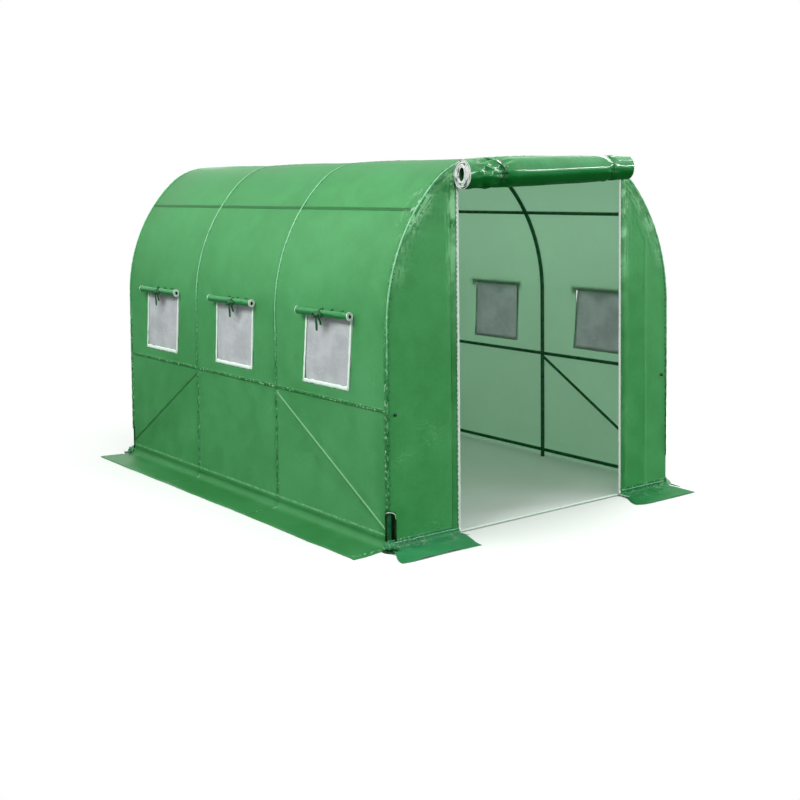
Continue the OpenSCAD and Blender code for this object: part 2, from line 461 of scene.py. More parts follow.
waist_l, rail_l = wall_l(waist_z), wall_l(rail_z)
shoulder_l = {side: wall_l(mid(f"shoulder_purlin_{name}", 2) + 0.007) for name, side in SIDES.items()}
sill_l, lintel_l = (wall_l(corner[2]) for corner in window_box["front"])
braces = {}  # each end's corner braces, as places along the tunnel and along half of the cover
for end, inner, outer in (("front", 1, 0), ("back", 2, 3)):
    low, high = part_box(f"brace_{end}_right")
    braces[end] = (arch_y[inner], wall_l(high[2] - 0.008)), (arch_y[outer], wall_l(low[2] + 0.012))


def slant_mask(n, x, y, start, end, half_width, soft):
    """1 on a straight line between two places on the film."""
    way = (Vector(end) - Vector(start)).normalized()
    across = (x - start[0]) * way.y - (y - start[1]) * way.x
    low, high = sorted((start[0], end[0]))
    return n.near(across, 0.0, half_width, half_width + soft) * ((x > low) * (x < high))


def cover_marks(n, x, y):
    """Where the tubes press on the film from inside: painted shade of the tubes seen through the film over a
    raised ridge, painted highlights and glints beside them, painted shade on the flap and painted highlights on
    small curls.
    """
    s = cover_l - abs(y - cover_l)  # the length along either half
    legs = n.most(*[n.near(x, place, 0.008, 0.018) for place in arch_y])
    low_legs = legs * n.span(s, wall_l(0.9), wall_l(1.3), 1.0, 0.25)
    waists = n.near(s, waist_l, 0.005, 0.013)
    shoulders = n.most(*[n.near(y, over(side, shoulder_l[side]), 0.007, 0.012) for side in (-1, 1)])
    rails, rail_lip_highlight = n.near(s, rail_l, 0.004, 0.020), n.near(s, rail_l + 0.024, 0.002, 0.008)
    front_brace_highlight = slant_mask(n, x, s, *braces["front"], 0.003, 0.006)
    rear_slants = slant_mask(n, x, s, *braces["back"], 0.005, 0.006)
    flap_shade = n.span(s, foot_l - 0.01, foot_l + 0.03, 1.0, 0.0)
    # painted highlights on small curls where the front end of the roof is gathered, on the left only
    bent = n.noise((x * 1.6, y, 7.0), 17.0, 2.0, 0.5, 1.2)
    gathered = n.span(x + end_y, 0.03, 0.13, 1.0, 0.0) * n.near(s, shoulder_l[-1], 0.06, 0.22)
    apart = n.blots((x, y, 9.0), 14.0, 0.42, 0.56)
    curls = n.near(bent, 0.5, 0.010, 0.060) * gathered * (apart * (y < cover_l))
    speckle = n.span(n.noise((x, y, 0.0), 55.0), 0.42, 0.62, 0.35)
    glints = n.blots((x, y, 4.0), 55.0, 0.57, 0.63, 1.0)
    # painted shade of the tubes seen through the film, and on the flap
    dark = n.most(low_legs * speckle * 0.75, waists * speckle * 0.80, shoulders * 0.86, rails * 0.34,
                  flap_shade * 0.27, rear_slants * speckle * 0.90)
    # painted highlights on the front brace, the rail's lip and the curls, and painted glints on the tube lines
    pale = n.most(glints * n.most(low_legs, waists) * 0.8, front_brace_highlight * 0.85,
                  rail_lip_highlight * (0.85 - speckle * 0.8), curls * 0.85)
    return dark, pale, n.most(legs, waists, shoulders, rear_slants, curls)


def wall_marks(n, x, z):
    """Painted highlights on creases where an end wall is sewn to the cover with slack, and where the rolled
    door tugs at the zips, with painted shade in hollows beside them, a darker band along the seam, and a
    painted highlight on the upright fold with painted light on the panel past it.
    """
    from_seam, from_door, _ = n.parts(n.attribute("edges"))

    def ridges(place, scale, width, twist):
        return n.near(n.noise(place, scale, 2.0, 0.5, twist), 0.5, width * 0.3, width)

    at_seam = n.span(from_seam, 0.03, 0.13, 1.0, 0.0) * n.span(z, 1.25, 1.62)
    at_zip = n.span(from_door, 0.03, 0.10, 1.0, 0.0) * n.span(z, 1.05, 1.75, 0.10, 1.0)
    curls = ridges((x, z, 4.0), 17.0, 0.080, 1.4) * ((x < 0.0) * 0.15 + 0.85)
    pulls = ridges((from_seam * 7.0, z, 6.0), 5.0, 0.11, 0.3) * 0.9
    uprights = ridges((from_door * 9.0, z, 8.0), 4.5, 0.15, 0.2)
    creases = n.most(at_seam * n.most(curls, pulls), at_zip * uprights)
    creases *= n.blots((x, z, 2.0), 9.0, 0.40, 0.58) * 0.75 + 0.25
    # a painted highlight on the upright fold, and painted light on the panel past the fold, which faces the
    # light
    fold = n.near(x, FOLD_X, 0.0015, 0.006) * n.span(z, 1.45, 1.60, 1.0, 0.0)
    turned = n.span(x, FOLD_X - 0.001, FOLD_X + 0.005) * n.span(z, 1.0, 1.6, 0.055, 0.015)
    # painted shade in hollows by the seam and in furrows by the zip
    hollows = at_seam * n.blots((x, z, 1.0), 30.0, 0.50, 0.60)
    furrow_shade = at_zip * n.blots((from_door * 8.0, z, 3.0), 5.0, 0.52, 0.60)
    dark = n.most(n.span(from_seam, 0.004, 0.022, 1.0, 0.0) * 0.30, hollows * 0.42, furrow_shade * 0.36)
    return dark, n.most(creases, turned, fold * 0.20), creases


def flap_marks(n, x, y):
    """Painted highlights on small wrinkles where a flap turns out from the foot of the wall."""
    crease = n.near(n.noise((x, y * 1.7, 3.0), 26.0, 2.0, 0.5, 1.2), 0.5, 0.020, 0.085)
    patches = n.blots((x, y, 5.0), 11.0, 0.46, 0.60)
    crease = crease * n.span(y, end_y + 0.05, end_y + 0.14, 1.0, 0.10) * patches
    return 0.0, crease * 0.34, crease


def roll_underside_shade(n, x, y):
    """Painted shade: the rolled-up film is darkened on its underside, where less light falls."""
    under = n.math("COSINE", y * (1 / ROLL_R) + radians(68))
    return n.span(under, 0.52, 0.84) * 0.94, 0.0, 0.0


def coiled_edge():
    """The pale cut edges of a coiled roll, with painted shade in the hollows between its layers."""
    m, n = start_material("roll_edge")
    hollow = n.parts(n.attribute("weave"))[2]
    patches = n.noise(n.object_place(), 60.0, 3.0, 0.6)
    colour = n.mix(n.span(patches, 0.35, 0.7), (0.74, 0.77, 0.74, 1), (0.52, 0.60, 0.54, 1))
    # painted shade in the coil's hollows
    colour = n.mix(hollow, colour, (0.010, 0.045, 0.018, 1))
    end_material(n, colour, n.span(patches, 0.3, 0.7, 0.45, 0.6), patches, 0.0006)
    return m


def seam_tape_material():
    """Painted highlight: pale over the roof where the seam catches the light, greener down the walls."""
    m, n = start_material("seam_tape")
    place = n.object_place()
    patches = n.noise(place, 45.0, 3.0, 0.6)
    worn = n.span(patches, 0.4, 0.65)
    low = n.mix(worn, (0.012, 0.13, 0.032, 1), (0.10, 0.42, 0.17, 1))
    high = n.mix(worn, (0.19, 0.55, 0.28, 1), (0.30, 0.68, 0.40, 1))
    # paler with height: painted light
    colour = n.mix(n.span(patches * 0.30 + n.parts(place)[2], 0.85, 1.45), low, high)
    end_material(n, colour, n.span(patches, 0.3, 0.7, 0.35, 0.5), patches, 0.001, Specular_IOR_Level=0.3)
    return m


def mesh_cloth():
    """Pale insect mesh: a fine grid of threads, a little see-through to light."""
    m, n = start_material("insect_mesh")
    x, y, _ = n.parts(n.attribute("weave"))
    place = n.vector(x, y, 0.0)
    threads = n.threads((x, y), 0.0013, 0.0011)
    patches = n.span(n.noise(place, 6.0, 3.0, 0.6), 0.3, 0.7)
    crease = n.noise(n.scaled(place, (1.0, 2.4, 1.0)), 5.0, 3.0, 0.6, 1.2)
    colour = n.mix(patches, (0.57, 0.60, 0.62, 1), (0.72, 0.75, 0.77, 1))
    colour = n.mix(threads * 0.25, colour, (0.70, 0.75, 0.76, 1))
    colour = n.mix(n.near(crease, 0.5, 0.0, 0.018) * 0.45, colour, (0.82, 0.87, 0.88, 1))
    end_material(n, colour, n.span(patches, 0.0, 1.0, 0.5, 0.62), threads * 0.3 + crease, 0.002, 0.3, colour)
    return m


cover_film = film("cover_film", (0.038, 0.275, 0.066), (0.068, 0.360, 0.112), 0.44, 0.14, 0.28,
                  marks=cover_marks)
# the film's inner face: painted pale as if lit through from outside, besides its translucent share
lit_inner_film = film("lit_inner_film", (0.52, 0.68, 0.57), (0.58, 0.74, 0.63), 0.5, 0.10, 0.72, (0.92, 1.0, 0.94))
wall_film = film("wall_film", (0.036, 0.325, 0.068), (0.064, 0.43, 0.118), 0.40, 0.25, 0.22, marks=wall_marks)
flap_film = film("flap_film", (0.018, 0.190, 0.060), (0.036, 0.265, 0.098), 0.40, 0.30, 0.05,
                 marks=flap_marks, shine=0.20)
shaded_flap = film("shaded_flap_film", (0.017, 0.168, 0.046), (0.032, 0.232, 0.076), 0.44, 0.30, 0.03,
                   marks=flap_marks, shine=0.02)
door_film = film("door_film", (0.022, 0.27, 0.062), (0.045, 0.37, 0.115), 0.36, 0.0, 0.0,
                 bump=0.0002, coat=0.95, marks=roll_underside_shade, shine=0.08)
roll_film = film("roll_film", (0.015, 0.195, 0.045), (0.032, 0.285, 0.085), 0.34, 0.10, 0.0,
                 bump=0.0006, coat=0.45, shine=0.2)
roll_edge, seam_tape, insect_mesh = coiled_edge(), seam_tape_material(), mesh_cloth()
hem_tape = solid("hem_tape", (0.80, 0.93, 0.84), (0.62, 0.86, 0.70), 0.5, 70)
zip_tape = solid("zip_tape", (0.86, 0.94, 0.89), (0.74, 0.88, 0.80), 0.45, 80)
zip_tooth = solid("zip_tooth", (0.10, 0.34, 0.16), (0.34, 0.62, 0.42), 0.35, 60)
stitch_thread = solid("stitch_thread", (0.010, 0.12, 0.030), (0.06, 0.34, 0.12), 0.6, 60)
fold_highlight = solid("fold_highlight", (0.05, 0.34, 0.13), (0.22, 0.60, 0.34), 0.4, 55)
# near-black green: a binding's colour, and also painted shade in the gaps and hollows where it is used
slot_binding_and_shade = solid("slot_binding_and_shade", (0.003, 0.035, 0.009), (0.006, 0.055, 0.015), 0.6, 80)
tie_tape = solid("tie_tape", (0.004, 0.065, 0.017), (0.013, 0.14, 0.038), 0.5, 200, 0.0006)
tube_paint = solid("tube_paint", (0.008, 0.090, 0.028), (0.016, 0.14, 0.05), 0.32, 25)
bolt_black = solid("bolt_black", (0.012, 0.014, 0.012), (0.03, 0.03, 0.03), 0.4, 90)


# ---- Cover ----
def bow(places, value):
    """0 at each of the places that hold the film, and 1 half way between two of them."""
    for a, b in zip(places, places[1:]):
        if value <= b:
            break
    return sin(pi * min(1.0, max(0.0, (value - a) / (b - a)))) ** 0.8


def brace_room(y, s):
    """0 on a corner brace and 1 well away from it, so that the film lies on the brace."""
    nearest = 1.0
    for start, end in braces.values():
        from_start, way = vec(y, s) - Vector(start), Vector(end) - Vector(start)
        t = min(1.0, max(0.0, from_start.dot(way) / way.length_squared))
        nearest = min(nearest, (from_start - way * t).length)
    return smooth((nearest - 0.02) / 0.12)


def cover_point(side, y, s):
    """A place on the cover: held on the tubes, sunk between them, softly uneven."""
    p, out = along(cover_path, s)
    if s > foot_l:
        t = over(side, s)
        ripple = rough(y * 2.3, t * 2.0, 3.0) * 0.0022 + rough(y * 7.0, t * 5.0, 8.0) * 0.0009
        held = [foot_l, waist_l, shoulder_l[side], cover_l]
        p = p + out * ((ripple * 0.6 - SAG) * bow(held, s) * bow(arch_y, y) * brace_room(y, s))
    return vec(side * p.x, y, p.y)


def shape_flap(v, side, s):
    """Waves in the flap: its free edge wanders and lifts a little, and its ends are cut on a slant."""
    y, free = v.co.y, smooth(1 - s / flap_l)
    v.co.x += side * free * (rough(y * 1.3, 5.0 * side, 0.0) * 0.012 + rough(y * 5.0, side, 2.0) * 0.004)
    lift = max(0.0, rough(y * 3.1, 9.0 * side, 4.0) + 0.1) * 0.012
    lift += max(0.0, rough(y * 9.0, s * 9.0, side)) * 0.004
    v.co.z += lift * free * smooth((flap_l - s) / 0.05)
    if abs(y) > end_y:
        v.co.y -= copysign((abs(y) - end_y) * (0.70 + 0.25 * (1 - free) ** 2), y)
    if side > 0 and y < 0:
        v.co.y += 0.25 * free * smooth(1 - (y + tail_y) / 0.5)


def make_cover():
    """One sheet from the left flap over the roof to the right flap."""
    slot_l = wall_l(SLOT_LOW), wall_l(SLOT_TOP)
    keys = [0, flap_l, foot_l, rail_l, waist_l, sill_l, lintel_l, cover_l, *slot_l]
    left, right = (stations(keys + [shoulder_l[side]], CELL) for side in (-1, 1))
    rows = [(-1, s) for s in left] + [(1, s) for s in reversed(right[:-1])]
    keys = [-wall_y, wall_y, -wall_y + SLOT_ROUND, wall_y - SLOT_ROUND] + arch_y
    keys += [corner[1] for b in BAYS for corner in window_box[b]]
    bm = loft([[cover_point(side, y, s) for side, s in rows] for y in stations(keys, CELL)])
    order = bm.verts.layers.int["order"]
    for sign in (-1, 1):
        rim = [
            e for e in bm.edges if e.is_boundary
            and all(abs(v.co.y - sign * wall_y) < 1e-5 and rows[v[order]][1] < flap_l + 1e-5 for v in e.verts)
        ]
        for _ in range(5):
            rim, new = extrude(bm, rim)
            for v in new:
                v.co.y += sign * (tail_y - wall_y) / 5
    weave_by(bm, lambda v: (v.co.y, over(*rows[v[order]]), 0.0))
    gone = []
    for f in bm.faces:
        y = f.calc_center_median().y
        s = sum(rows[v[order]][1] for v in f.verts) / len(f.verts)  # the same on either half
        at_window = any(window_box[b][0][1] < y < window_box[b][1][1] for b in BAYS)
        if at_window and sill_l < s < lintel_l or abs(y) > wall_y - SLOT_ROUND and slot_l[0] < s < slot_l[1]:
            gone.append(f)
    bmesh.ops.delete(bm, geom=gone, context="FACES")
    for v in bm.verts:
        side, s = rows[v[order]]
        if s < flap_l:
            shape_flap(v, side, s)
    nodes = [f"{n}_{s}" for n in ("side_cover", "roof_cover", "skirt") for s in SIDES]
    return piece("cover", bm, cover_film, lit_inner_film, nodes=nodes, thick=FILM_T, away=(0, 0, 0.9))


cover = make_cover()
2 * cover_l


# ---- End walls ----
def fade(distance, rise, fall):
    """0 at an edge that holds the film, a peak just past it, then dying away."""
    return smooth(distance / rise) * exp(-distance / fall)


def gathers(s, inward, z, seed):
    """Short folds that run in from the shoulder seam, where the wall is sewn on with slack."""
    high = smooth((z - 1.30) / 0.35) * (0.35 + 0.65 * smooth((rough(s * 2.2, seed, 0.0) + 0.3) * 1.6))
    fold = 0.5 + rough(s * 34.0 + inward * 9.0, inward * 11.0, seed)
    curl = 0.5 + rough(s * 70.0, inward * 55.0, seed + 5.0)
    return (fold * 0.014 + curl * 0.007) * fade(inward, 0.012, 0.075) * high


def streaks(s, inward, z, seed):
    """Long pulls that run along the shoulder seam."""
    pull = rough(s * 5.0, inward * 44.0, seed) + 0.4 * rough(s * 17.0, inward * 75.0, seed)
    return max(0.0, pull + 0.25) * 0.009 * fade(inward, 0.012, 0.085) * smooth((z - 1.20) / 0.40)


def zip_pulls(to_door, z, seed):
    """Upright ridges beside the zip, deepest where the rolled door tugs at the top."""
    tug = 0.2 + 0.8 * smooth((z - 1.25) / 0.55)
    ridge = rough(to_door * 62.0, z * 1.7, seed) + 0.3 * rough(to_door * 120.0, z * 6.0, seed)
    return max(0.0, ridge + 0.1) * 0.010 * fade(to_door, 0.010, 0.055) * tug


def broad_waves(x, z, seed):
    return rough(x * 3.0, z * 1.4, seed) * 0.004 + rough(x * 8.0, z * 3.0, seed) * 0.0012


def make_front_wall():
    """The wall round the doorway, as one band between the doorway's edge and the outline."""
    outer = outline(cover_off, GROUND, FINE_CELL, SLOT_TOP)
    lead = 0.10  # how far before the doorway's corner the band starts to turn
    steps = 44  # rows of faces across the band
    half = len(outer) // 2

    def round_door(side_name, points):
        """The doorway's edge beside and over each point of one half of the outline."""
        edge = abs(door_edge[side_name])
        path = [line((edge, GROUND), (edge, door_top)), line((edge, door_top), (0.0, door_top))]
        low = next(i for i, p in enumerate(points) if p.y > door_top - lead)
        high = next(i for i, p in enumerate(points) if abs(p.x) < edge - lead)
        start, end = points[low].y - GROUND, path_length(path) - abs(points[high].x)
        turn = [along(path, lerp(start, end, i / (high - low)))[0] for i in range(1, high - low)]
        places = [vec(edge, p.y) for p in points[: low + 1]] + turn
        places += [vec(abs(p.x), door_top) for p in points[high:]]
        return [vec(SIDES[side_name] * q.x, q.y) for q in places]

    inner = round_door("left", outer[: half + 1]) + round_door("right", outer[:half - 1:-1])[-2::-1]
    edges = {}

    def point(i, j):
        a, b, t = inner[i], outer[i], j / steps
        p = a.lerp(b, t)
        inward, outward = (b - a).length * (1 - t), (b - a).length * t
        edges[i, j] = (inward, outward, 0.0)
        at_seam = gathers if p.x < 0 else streaks
        off = at_seam(i * FINE_CELL, inward, p.y, 1.0) + zip_pulls(outward, p.y, 2.0 + (p.x > 0))
        off += broad_waves(p.x, p.y, 2.0) * smooth(min(inward, outward) / 0.06)
        if p.x > 0:
            off += 0.004 * exp(-abs(p.x - FOLD_X) / 0.010) * smooth((1.62 - p.y) / 0.1)
        return vec(p.x, -wall_y - off * smooth(min(inward, outward) / 0.006), p.y)

    bm = loft([[point(i, j) for i in range(len(outer))] for j in range(steps + 1)])
    flat_weave(bm)
    order, level = bm.verts.layers.int["order"], bm.verts.layers.int["level"]
    weave_by(bm, lambda v: edges[v[order], v[level]], "edges")
    cut_foot_slots(bm, [-1])  # the right panel covers its arch foot
    nodes = [f"front_panel_{part}" for part in ("left", "right", "top")]
    return piece("front_wall", bm, wall_film, lit_inner_film, nodes=nodes, thick=FILM_T, away=UP)


def cut_foot_slots(bm, sides):
    """Cuts the slots that bare the arch feet, with an arched top."""
    def by_foot(f, side, width, low, high):
        c = f.calc_center_median()
        return side * c.x > half_w - width and low < c.z < high

    for side in sides:
        inner_x = side * (half_w - SLOT_W)
        for co, no in (((inner_x, 0, 0), (1, 0, 0)), ((0, 0, SLOT_LOW), UP), ((0, 0, SLOT_TOP), UP)):
            near = [f for f in bm.faces if by_foot(f, side, 2.5 * SLOT_W, -1.0, SLOT_TOP + 0.05)]
            parts = {e for f in near for e in f.edges} | {v for f in near for v in f.verts} | set(near)
            bmesh.ops.bisect_plane(bm, geom=list(parts), plane_co=co, plane_no=no, dist=1e-5)
    gone = [f for f in bm.faces if any(by_foot(f, side, SLOT_W, SLOT_LOW, SLOT_TOP) for side in sides)]
    bmesh.ops.delete(bm, geom=gone, context="FACES")
    layer = bm.verts.layers.float_vector["weave"]
    for v in bm.verts:
        v[layer] = (v.co.x, v.co.z, 0.0)
        inwards = (half_w - abs(v.co.x)) / SLOT_W
        if abs(v.co.z - SLOT_TOP) < 1e-4 and 0 <= inwards <= 1.001:
            v.co.z -= SLOT_DROP * inwards * inwards


def make_back_wall():
    """The plain back wall: rings that shrink from its outline to its middle."""
    cell, rings = FINE_CELL * 1.5, 46
    outer = outline(cover_off, GROUND, cell, SLOT_TOP)
    count = 2 * ceil(half_w / cell)
    rim = outer + [outer[-1].lerp(outer[0], i / count) for i in range(1, count)]
    middle = vec(0.0, top_z * 0.45)

    def point(i, j):
        q = middle.lerp(rim[i], 1 - j / rings)
        edge = (rim[i] - q).length
        off = gathers(i * cell, edge, q.y, 3.0) if i < len(outer) else 0.0
        return vec(q.x, wall_y + off + broad_waves(q.x, q.y, 9.0) * smooth(edge / 0.15), q.y)

    bm = loft([[point(i, j) for i in range(len(rim))] for j in range(rings)], closed=True)
    hole = [e for e in bm.edges if e.is_boundary and all((v.co.xz - middle).length < 0.2 for v in e.verts)]
    bmesh.ops.holes_fill(bm, edges=hole, sides=0)
    bmesh.ops.triangulate(bm, faces=[f for f in bm.faces if len(f.verts) > 4])
    flat_weave(bm)
    level = bm.verts.layers.int["level"]
    weave_by(bm, lambda v: (v[level] / rings * half_w, 1.0, 0.0), "edges")
    cut_foot_slots(bm, [-1, 1])
    return piece("back_wall", bm, wall_film, lit_inner_film, nodes=["back_panel"], thick=FILM_T, away=UP)


front_wall, back_wall = make_front_wall(), make_back_wall()


# ---- Flaps at the ends ----
def make_end_flap(name, x0, x1, sign, node, skew0, skew1, round0=0.0, material=flap_film):
    """A flap that leaves the foot of an end wall and lies on the ground."""
    wall = wall_y + 0.0022
    path = flap_path(0.0, flap_y - wall - 0.004) + [line((0.0, foot_z), (0.0, foot_z + 0.018))]
    flat_l, total = path[0][3], path_length(path)
    lengths = stations([0, flat_l, flat_l + path[1][3], total], 0.016)

    def point(x, s):
        p = along(path, s)[0]
        free = smooth(1 - s / flat_l)
        wander = rough(x * 3.0, sign * 4.0, 1.0) * 0.010 - round0 * (1 - min(1.0, (x - x0) / 0.08)) ** 2
        lift = max(0.0, rough(x * 7.0, s * 4.0, sign * 3.0) + 0.15) * 0.014 * free
        lift += max(0.0, rough(x * 30.0, s * 12.0, 6.0)) * 0.010 * smooth(1 - abs(s - flat_l + 0.03) / 0.07)
        slide = lerp(skew0, skew1, (x - x0) / (x1 - x0)) * free
        return vec(x + slide, sign * (wall + p.x + wander * free), p.y + lift)

    bm = loft([[point(x, s) for s in lengths] for x in stations([x0, x1], 0.018)])
    weave_by(bm, lambda v: (v.co.x, abs(v.co.y), 0.0))
    ob = piece(name, bm, material, nodes=[node], thick=FILM_T, away=((x0 + x1) / 2, sign * wall, -0.5))


make_end_flap("front_flap_left", -wall_x - 0.006, door_edge["left"] + 0.01, -1,
              "skirt_front_left", -0.080, -0.055, 0.012)
make_end_flap("front_flap_right", door_edge["right"] - 0.01, wall_x + 0.006, -1,
              "skirt_front_right", -0.075, -0.015, 0.03, shaded_flap)
make_end_flap("back_flap", -wall_x, wall_x, 1, "skirt_back", 0.10, -0.10)


# ---- Seams ----
def circle(count):
    return [2 * pi * k / count for k in range(count)]


def way_at(points, i):
    return (points[min(i + 1, len(points) - 1)] - points[max(i - 1, 0)]).normalized()


def make_cord(name, points, r, material, swell=0.0, seed=0.0):
    """A closed round bead through points."""
    rows = []
    for i, p in enumerate(points):
        way = way_at(points, i)
        one = (one - way * one.dot(way)).normalized() if rows else way.orthogonal().normalized()
        two = way.cross(one)
        grown = r * (1 + swell * rough(i * 0.7, seed, 1.0))
        rows.append([p + one * grown * cos(a) + two * grown * sin(a) for a in circle(8)])
    return piece(name, tube(rows), material)


def make_seam(name, y):
    """A narrow tape over an arch, from low on one wall round to the other."""
    pts = outline(cover_off + 0.0006, 0.09, 0.02)
    bm = loft([[vec(p.x, y + 0.009 * across, p.y) for p in pts] for across in (-0.5, 0.0, 0.5)])
    piece(name, bm, seam_tape, thick=0.0014, offset=1.0, away=(0, y, 0.9))


def make_piping(name, sign):
    """The piped edge where the cover meets an end wall, from slot to slot."""
    pts, rows = outline(cover_off * 0.4, SLOT_TOP, 0.02), []
    for i, p in enumerate(pts):
        way, r = way_at(pts, i), 0.0045 * (1 + 0.18 * sin(i * 1.9))
        ring = [(p + vec(-way.y, way.x) * r * cos(a), r * sin(a)) for a in circle(8)]
        rows.append([vec(q.x, sign * (end_y + 0.002) + y, q.y) for q, y in ring])
    piece(name, tube(rows), seam_tape)


def make_stitches(name, y, z0, spacing, size):
    """Short uneven stitches beside a seam, as one joined mesh."""
    path = wall_path(cover_off + 0.0008, GROUND)
    start = height_to_length(path, z0)
    bm = bmesh.new()
    for side in (-1, 1):
        for i in range(int((path_length(path) - start) / spacing)):
            drift = rough(i * 0.9, side * 3.0, y)
            p, out = along(path, start + spacing * (i + 0.5 + drift * 0.7))
            turn = Matrix.Rotation(-atan2(out.y, out.x), 4, "Y")
            lean = Matrix.Rotation(0.5 * sin(i * 1.7), 4, "X")
            scale = 0.75 + 0.9 * abs(drift)
            place = Matrix.Translation((p.x, y + 0.005 * drift, p.y)) @ turn @ lean
            made = add_box(bm, place, [c * scale for c in size])
            if side < 0:
                bmesh.ops.scale(bm, vec=(-1, 1, 1), verts=made)
    piece(name, bm, stitch_thread, smooth_faces=False)


def make_end_stitches(name, sign):
    """Dark stitches on an end wall, just inside its seam."""
    path = wall_path(cover_off, GROUND)
    s, i = height_to_length(path, SLOT_TOP + 0.01), 0
    bm = bmesh.new()
    while s < path_length(path) - 0.01:
        p, out = along(path, s)
        for side in (-1, 1):
            drift = rough(i * 0.8, side * 5.0, sign)
            q = p - out * (0.011 + 0.005 * drift)
            turn = Matrix.Rotation(atan2(out.y, side * out.x) + 1.2 * drift, 4, (0, -1, 0))
            place = Matrix.Translation((side * q.x, sign * (wall_y + 0.0012), q.y)) @ turn
            add_box(bm, place, (0.008 + 0.010 * abs(drift), 0.0024, 0.0036))
        s += 0.034 * (1 + 0.25 * sin(i * 1.9))
        i += 1
    piece(name, bm, stitch_thread, smooth_faces=False)


def make_foot_details(end, side_name):
    """The cut-out round an arch foot and the tuck of film below it: a dark binding that is also painted shade
    in the gap, a pale rim that is a painted highlight, a dark strip inside as painted shade, and a dark disc
    under the flaps as a painted shadow.
    """
    side, sign, tag = SIDES[side_name], ENDS[end], f"{end}_{side_name}"
    x, y = side * (wall_x + 0.0015), sign * (wall_y + 0.0015)
    inner_x = side * (half_w - SLOT_W)
    points = [vec(inner_x, y, z) for z in (SLOT_LOW, 0.08, 0.12, 0.150)]
    for t in [i / 7 for i in range(1, 7)]:
        points.append(vec(side * (half_w - SLOT_W * (1 - t)), y, SLOT_TOP - SLOT_DROP * (1 - t) ** 2))
    covered = tag == "front_right"
    points = [] if covered else points + [vec(x, y, SLOT_TOP + 0.001)]
    points.append(vec(x, sign * (end_y - 0.010), SLOT_TOP - 0.003))
    points += [vec(x, sign * (end_y - 0.0185), z) for z in (0.170, 0.12, 0.08, SLOT_LOW)]
    # a dark binding round the cut-out, dark enough to be painted shade in the gap beside the tube as well
    make_cord(f"slot_binding_and_shade_{tag}", points, 0.0052, slot_binding_and_shade, swell=0.3)
    if covered:
        return
    # a pale cord round the arched top: a painted highlight
    out = vec(side * 0.3, sign * 1.0, 0.9).normalized() * 0.0068
    make_cord(f"slot_rim_highlight_{tag}", [p + out for p in points[3:-3]], 0.0022, hem_tape, swell=0.7)
    # a dark strip inside the cut-out: painted shade in the gap
    deep = [y - sign * d for d in (0.002, 0.018, 0.036, 0.052)]
    rows = [[vec(inner_x + side * 0.004 * sin(i + z * 40), v, z) for i, v in enumerate(deep)]
            for z in (SLOT_LOW - 0.004, 0.08, 0.13, SLOT_TOP - 0.004)]
    piece(f"slot_shade_hem_{tag}", loft(rows), slot_binding_and_shade, thick=0.0012, away=(0, deep[1], 0.1))
    bm = bmesh.new()
    bmesh.ops.create_icosphere(bm, subdivisions=4, radius=0.031)
    for v in bm.verts:
        v.co *= 1 + 0.45 * noise.noise(v.co * 55 + vec(side, sign, 0)) + 0.20 * noise.noise(v.co * 130)
        v.co.z *= 0.55
    low = min(v.co.z for v in bm.verts)
    bmesh.ops.translate(bm, vec=(side * (half_w + 0.002), sign * (end_y + 0.020), 0.002 - low), verts=bm.verts)
    weave_by(bm, lambda v: tuple(v.co))
    piece(f"corner_tuck_{tag}", bm, flap_film)
    # a dark disc on the ground under the flaps' corner: a painted shadow
    bm = bmesh.new()
    bmesh.ops.create_cone(bm, cap_ends=True, segments=24, radius1=0.052, radius2=0.046, depth=0.0012)
    bmesh.ops.translate(bm, vec=(side * (half_w + 0.004), sign * (end_y + 0.030), 0.0016), verts=bm.verts)
    piece(f"corner_shadow_{tag}", bm, slot_binding_and_shade)


def make_fold_line(name, x0, x1, sign):
    """The creased fold where a wall turns into its flap, as a pale cord: a painted highlight along the crease.
    """
    points = []
    for x in stations([x0, x1], 0.011):
        wobble = rough(x * 21.0, sign * 2.0, 5.0) * 0.004
        points.append(vec(x, sign * (wall_y + 0.004 + abs(wobble)), 0.030 + wobble))
    make_cord(name, points, 0.0038, fold_highlight, swell=0.9, seed=sign * 3.0)


for i in (1, 2):
    make_seam(f"seam_{i}", arch_y[i])
    make_stitches(f"stitches_{i}", arch_y[i] - 0.008, 0.10, 0.052, (0.0024, 0.0026, 0.011))
for end, sign in ENDS.items():
    make_piping(f"piping_{end}", sign)
    make_stitches(f"stitches_piping_{end}", sign * (end_y - 0.008), 0.20, 0.075, (0.0024, 0.0028, 0.011))
for end in ENDS:
    for side_name in SIDES:
        make_foot_details(end, side_name)
make_fold_line("fold_front_left", -half_w + 0.03, door_edge["left"] - 0.01, -1)
make_fold_line("fold_front_right", door_edge["right"] + 0.01, half_w - 0.03, -1)
make_fold_line("fold_back", -half_w + 0.03, half_w - 0.03, 1)
for end, sign in ENDS.items():
    make_end_stitches(f"wall_stitches_{end}", sign)

# ---- Tubes ----
for name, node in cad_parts.items():
    if name.startswith(("arch_", "brace_", "ground_rail_", "sill_front")) or "purlin" in name:
        node.data.materials.clear()
        node.data.materials.append(hem_tape if name == "sill_front" else tube_paint)


# ---- Windows ----
def wall_point(side, y, z, off):
    """The point of a side wall at a height, a distance off its outer face."""
    p, out = along(cover_path, wall_l(z))
    return vec(side * (p.x + out.x * off), y, p.y + out.y * off)


